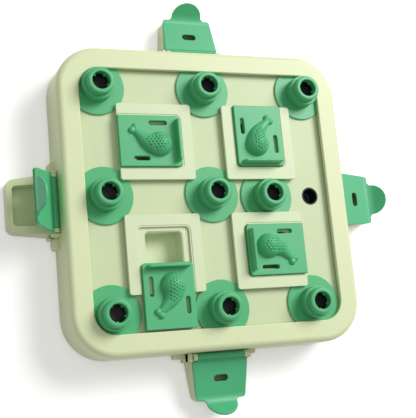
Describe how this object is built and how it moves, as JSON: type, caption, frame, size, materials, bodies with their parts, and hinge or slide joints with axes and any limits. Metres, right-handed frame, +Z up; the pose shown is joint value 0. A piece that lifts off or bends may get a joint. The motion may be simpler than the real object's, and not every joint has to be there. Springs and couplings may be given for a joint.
{
  "type": "dog puzzle feeder toy",
  "caption": "Square puzzle feeder board for dogs: hollow pegs and treat panels slide in a recessed track, and hinged lids cover the side treat trays.",
  "frame": {"origin": "centre of the board, in the plane of the ground that it rests on, at the middle of the bottom cover's round rest pad", "axes": "+Z up out of the track, +Y to the back of the board, +X to its right, so the side tray with the open lid is at -X"},
  "size_m": [0.3701, 0.3834, 0.0741],
  "materials": {
    "shell": "satin",
    "deck": "satin",
    "guide_frame": "satin",
    "tray": "satin",
    "peg": "satin",
    "panel": "satin",
    "lid": "satin",
    "dark_insert": "matte",
    "foot": "matte",
    "screw": "bright"
  },
  "bodies": {
    "board": {"housing": "shell", "deck": "deck", "deck_bosses": "shell", "bottom_cover": "shell", "guide_frame_back_left": "guide_frame", "guide_frame_back_right": "guide_frame", "guide_frame_front_right": "guide_frame", "guide_frame_front_left": "guide_frame", "treat_cup_front_left": "dark_insert", "treat_cup_middle_left": "dark_insert", "treat_cup_back_left": "dark_insert", "treat_cup_front_middle": "dark_insert", "treat_cup_centre": "dark_insert", "treat_cup_back_middle": "dark_insert", "treat_cup_front_right": "dark_insert", "treat_cup_middle_right": "dark_insert", "treat_cup_back_right": "dark_insert", "tray_left": "tray", "tray_right": "tray", "tray_front": "tray", "tray_back": "tray", "foot_front_left": "foot", "foot_front_right": "foot", "foot_back_left": "foot", "foot_back_right": "foot", "cover_screws": "screw", "deck_screws": "screw"},
    "back_left_peg": {"peg_back_left": "peg", "peg_floor_back_left": "dark_insert"},
    "back_middle_peg": {"peg_back_middle": "peg", "peg_floor_back_middle": "dark_insert"},
    "back_right_peg": {"peg_back_right": "peg", "peg_floor_back_right": "dark_insert"},
    "middle_left_peg": {"peg_middle_left": "peg", "peg_floor_middle_left": "dark_insert"},
    "centre_peg": {"peg_centre": "peg", "peg_floor_centre": "dark_insert"},
    "middle_right_peg": {"peg_middle_right": "peg", "peg_floor_middle_right": "dark_insert"},
    "front_left_peg": {"peg_front_left": "peg", "peg_floor_front_left": "dark_insert"},
    "front_middle_peg": {"peg_front_middle": "peg", "peg_floor_front_middle": "dark_insert"},
    "front_right_peg": {"peg_front_right": "peg", "peg_floor_front_right": "dark_insert"},
    "back_left_panel": {"panel_back_left": "panel"},
    "back_right_panel": {"panel_back_right": "panel"},
    "front_right_panel": {"panel_front_right": "panel"},
    "front_left_panel": {"panel_front_left": "panel"},
    "right_lid": {"lid_right": "lid"},
    "left_lid": {"lid_left": "lid"},
    "back_lid": {"lid_back": "lid"},
    "front_lid": {"lid_front": "lid"}
  },
  "joints": [
    {"name": "back_left_peg_slide", "type": "slide", "parent": "board", "child": "back_left_peg", "axis": [-1, 0, 0], "range_m": [-0.0484, 0]},
    {"name": "back_middle_peg_slide", "type": "slide", "parent": "board", "child": "back_middle_peg", "axis": [-1, 0, 0], "range_m": [-0.0484, 0.0484]},
    {"name": "back_right_peg_slide", "type": "slide", "parent": "board", "child": "back_right_peg", "axis": [0, -1, 0], "range_m": [0, 0.0484]},
    {"name": "middle_left_peg_slide", "type": "slide", "parent": "board", "child": "middle_left_peg", "axis": [0, -1, 0], "range_m": [-0.046, 0.0508]},
    {"name": "centre_peg_slide", "type": "slide", "parent": "board", "child": "centre_peg", "axis": [0, 1, 0], "range_m": [-0.0508, 0.046]},
    {"name": "middle_right_peg_slide", "type": "slide", "parent": "board", "child": "middle_right_peg", "axis": [1, 0, 0], "range_m": [-0.0024, 0.046]},
    {"name": "front_left_peg_slide", "type": "slide", "parent": "board", "child": "front_left_peg", "axis": [0, -1, 0], "range_m": [-0.0484, 0]},
    {"name": "front_middle_peg_slide", "type": "slide", "parent": "board", "child": "front_middle_peg", "axis": [0, 1, 0], "range_m": [0, 0.0484]},
    {"name": "front_right_peg_slide", "type": "slide", "parent": "board", "child": "front_right_peg", "axis": [1, 0, 0], "range_m": [-0.0381, 0.0103]},
    {"name": "back_left_panel_slide", "type": "slide", "parent": "board", "child": "back_left_panel", "axis": [-1, 0, 0], "range_m": [0, 0.0312]},
    {"name": "back_right_panel_slide", "type": "slide", "parent": "board", "child": "back_right_panel", "axis": [0, 1, 0], "range_m": [0, 0.0312]},
    {"name": "front_right_panel_slide", "type": "slide", "parent": "board", "child": "front_right_panel", "axis": [1, 0, 0], "range_m": [0, 0.0312]},
    {"name": "front_left_panel_slide", "type": "slide", "parent": "board", "child": "front_left_panel", "axis": [0, -1, 0], "range_m": [-0.0305, 0.0007]},
    {"name": "right_lid_hinge", "type": "hinge", "parent": "board", "child": "right_lid", "pos_m": [0.1398, 0, 0.025], "axis": [0, -1, 0], "range_deg": [0, 112]},
    {"name": "left_lid_hinge", "type": "hinge", "parent": "board", "child": "left_lid", "pos_m": [-0.1398, 0, 0.025], "axis": [0, 1, 0], "range_deg": [-68.8, 43.2]},
    {"name": "back_lid_hinge", "type": "hinge", "parent": "board", "child": "back_lid", "pos_m": [0, 0.1398, 0.025], "axis": [1, 0, 0], "range_deg": [0, 112]},
    {"name": "front_lid_hinge", "type": "hinge", "parent": "board", "child": "front_lid", "pos_m": [0, -0.1398, 0.025], "axis": [-1, 0, 0], "range_deg": [0, 112]}
  ]
}
